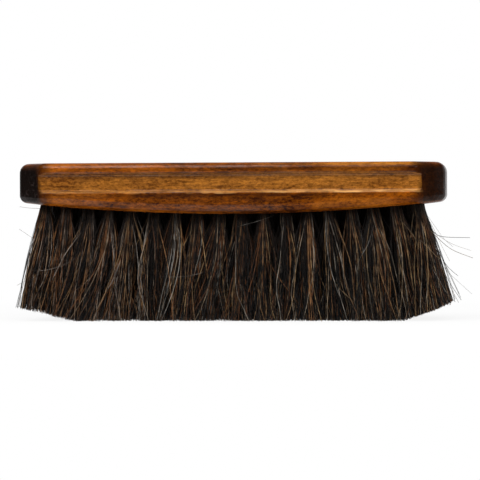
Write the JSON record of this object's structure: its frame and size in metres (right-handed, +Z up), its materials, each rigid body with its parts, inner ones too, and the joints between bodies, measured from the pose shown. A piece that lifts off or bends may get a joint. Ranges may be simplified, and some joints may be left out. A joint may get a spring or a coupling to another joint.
{
  "type": "shoe shine brush",
  "caption": "Oblong shoe shine brush: lacquered hardwood block with a crowned underside and finger grooves, and dense horsehair in staggered tufts, trimmed level.",
  "frame": {"origin": "on the floor under the middle of the block, level with the tips of the hair that the brush stands on", "axes": "+X along the block, +Y across it, away from the picture's camera, +Z up from the hair to the back"},
  "size_m": [0.2004, 0.0622, 0.0735],
  "materials": {
    "lacquered_wood": "amber brown stain, burnt dark at the ends and edges, under gloss lacquer",
    "horsehair": "coarse natural hair, black mixed with brown, tan and grey",
    "staple_wire": "plain drawn wire"
  },
  "bodies": {
    "root": {"wood_block": "lacquered_wood", "tuft_slice_01": "horsehair", "tuft_slice_02": "horsehair", "tuft_slice_03": "horsehair", "tuft_slice_04": "horsehair", "tuft_slice_05": "horsehair", "tuft_slice_06": "horsehair", "tuft_slice_07": "horsehair", "tuft_slice_08": "horsehair", "tuft_slice_09": "horsehair", "tuft_slice_10": "horsehair", "tuft_slice_11": "horsehair", "tuft_slice_12": "horsehair", "tuft_slice_13": "horsehair", "tuft_slice_14": "horsehair", "tuft_slice_15": "horsehair", "tuft_slice_16": "horsehair", "tuft_slice_17": "horsehair", "tuft_slice_18": "horsehair", "tuft_slice_19": "horsehair", "tuft_slice_20": "horsehair", "tuft_slice_21": "horsehair", "tuft_slice_22": "horsehair", "tuft_slice_23": "horsehair", "tuft_slice_24": "horsehair", "tuft_slice_25": "horsehair", "tuft_slice_26": "horsehair", "tuft_slice_27": "horsehair", "tuft_slice_28": "horsehair", "tuft_slice_29": "horsehair", "tuft_slice_30": "horsehair", "tuft_slice_31": "horsehair", "tuft_slice_32": "horsehair", "tuft_slice_33": "horsehair", "tuft_slice_34": "horsehair", "tuft_slice_35": "horsehair", "staple_row_1": "staple_wire", "staple_row_2": "staple_wire", "staple_row_3": "staple_wire", "staple_row_4": "staple_wire", "staple_row_5": "staple_wire"}
  },
  "joints": []
}
